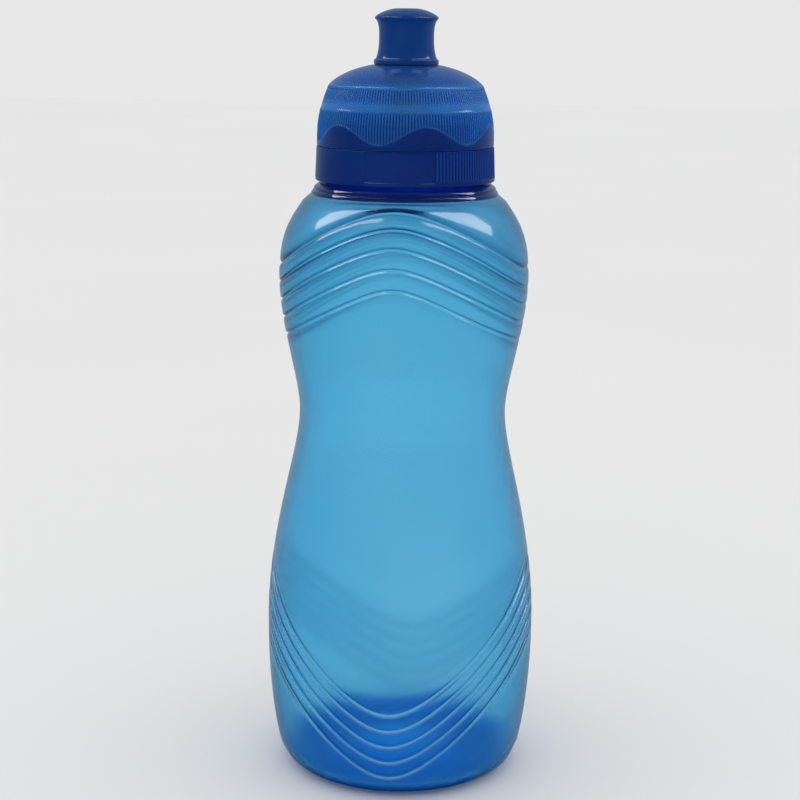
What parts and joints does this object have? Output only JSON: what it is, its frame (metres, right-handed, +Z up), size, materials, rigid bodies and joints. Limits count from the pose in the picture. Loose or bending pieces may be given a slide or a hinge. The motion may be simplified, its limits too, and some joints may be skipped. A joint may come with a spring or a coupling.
{
  "type": "sports squeeze bottle",
  "caption": "Translucent blown squeeze bottle with a waisted, wave-ribbed body, a screw cap under a domed cover and a push-pull drinking nozzle.",
  "frame": {"origin": "centre of the ring that the bottle stands on, on the ground plane", "axes": "+Z up along the bottle's axis, -Y towards the front, where the upper wave ribs peak"},
  "size_m": [0.0754, 0.0754, 0.2123],
  "materials": {
    "body_plastic": "translucent light blue blown plastic, glossy",
    "gasket_rubber": "matte, pale grey",
    "cap_plastic": "dark blue moulded plastic, satin gloss",
    "dome_plastic": "translucent mid blue moulded plastic, glossy",
    "nozzle_plastic": "opaque blue moulded plastic, satin gloss"
  },
  "bodies": {
    "bottle": {"bottle_body": "body_plastic"},
    "seal": {"cap_gasket": "gasket_rubber"},
    "cap": {"screw_cap": "cap_plastic", "dome_cover": "dome_plastic"},
    "mouthpiece": {"nozzle": "nozzle_plastic"}
  },
  "joints": [
    {"name": "cap_lift", "type": "slide", "parent": "bottle", "child": "seal", "axis": [0, 0, 1], "range_m": [0, 0.00534]},
    {"name": "cap_turn", "type": "hinge", "parent": "seal", "child": "cap", "pos_m": [0, 0, 0.18], "axis": [0, 0, 1], "range_deg": [0, 480]},
    {"name": "nozzle_pull", "type": "slide", "parent": "cap", "child": "mouthpiece", "axis": [0, 0, 1], "range_m": [0, 0.005]}
  ],
  "couplings": [
    {"joint": "cap_lift", "follows": "cap_turn", "m_per_rad": 0.00063662}
  ]
}
